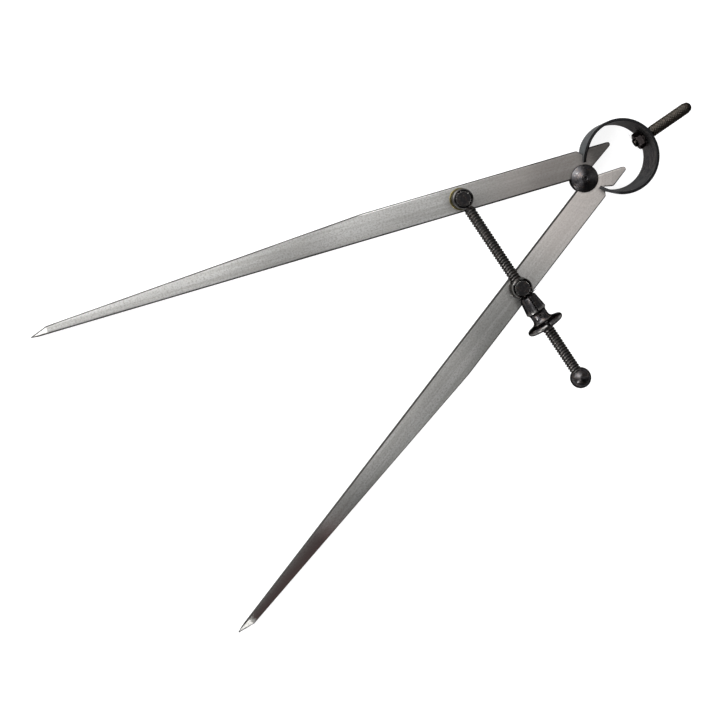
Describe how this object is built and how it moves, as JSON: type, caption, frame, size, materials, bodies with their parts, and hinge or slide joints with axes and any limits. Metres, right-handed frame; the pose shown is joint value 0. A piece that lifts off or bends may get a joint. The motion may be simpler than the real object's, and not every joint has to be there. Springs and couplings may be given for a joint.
{
  "type": "spring divider",
  "caption": "Spring divider: steel scribing legs on a roller fulcrum, opened by a round bow spring and held by an adjusting screw with a split quick nut.",
  "frame": {"origin": "on the fulcrum axis, at half the thickness of the legs", "axes": "+Y along the handle, away from the points; +Z out of the front, where the adjusting screw is; +X towards the ball end of the screw"},
  "size_m": [0.1262, 0.2361, 0.0193],
  "materials": {
    "leg_steel": "ground lengthwise, uncoated",
    "spring_steel": "heat-treated and black-oxided strip",
    "black_steel": "black oxide, oiled, turned",
    "aged_brass": "darkened brass"
  },
  "bodies": {
    "head": {"bow_spring": "spring_steel", "handle": "black_steel", "handle_lock_washer": "black_steel", "handle_nut": "black_steel", "fulcrum_roller": "black_steel", "front_fulcrum_cap": "black_steel", "rear_fulcrum_cap": "black_steel"},
    "left_leg": {"left_leg": "leg_steel", "anchor_washer": "aged_brass"},
    "right_leg": {"right_leg": "leg_steel", "swivel_washer": "leg_steel"},
    "adjusting_screw": {"anchor_post": "black_steel", "anchor_rear_washer": "black_steel", "anchor_cross_pin": "black_steel", "adjusting_screw": "black_steel", "ball_end": "black_steel"},
    "swivel_post": {"swivel_post": "black_steel", "swivel_rear_washer": "black_steel"},
    "quick_nut": {"nut_jaws": "black_steel", "nut_flange": "black_steel"}
  },
  "joints": [
    {"name": "left_leg_swing", "type": "hinge", "parent": "head", "child": "left_leg", "pos_m": [0, 0, 0], "axis": [0, 0, -1], "range_deg": [-18, 12], "deforming": ["bow_spring"]},
    {"name": "right_leg_swing", "type": "hinge", "parent": "head", "child": "right_leg", "pos_m": [0, 0, 0], "axis": [0, 0, 1], "range_deg": [-18, 12], "deforming": ["bow_spring"]},
    {"name": "anchor_swivel", "type": "hinge", "parent": "left_leg", "child": "adjusting_screw", "pos_m": [-0.01873, -0.04049, 0], "axis": [0, 0, 1], "range_deg": [-18, 12]},
    {"name": "post_swivel", "type": "hinge", "parent": "right_leg", "child": "swivel_post", "pos_m": [0.01873, -0.04049, 0], "axis": [0, 0, -1], "range_deg": [-18, 12]},
    {"name": "nut_spin", "type": "hinge", "parent": "swivel_post", "child": "quick_nut", "pos_m": [0.01873, -0.04049, 0.005], "axis": [1, 0, 0], "continuous": true}
  ],
  "couplings": [
    {"joint": "right_leg_swing", "follows": "left_leg_swing", "ratio": 1},
    {"joint": "anchor_swivel", "follows": "left_leg_swing", "ratio": 1},
    {"joint": "post_swivel", "follows": "left_leg_swing", "ratio": 1}
  ]
}
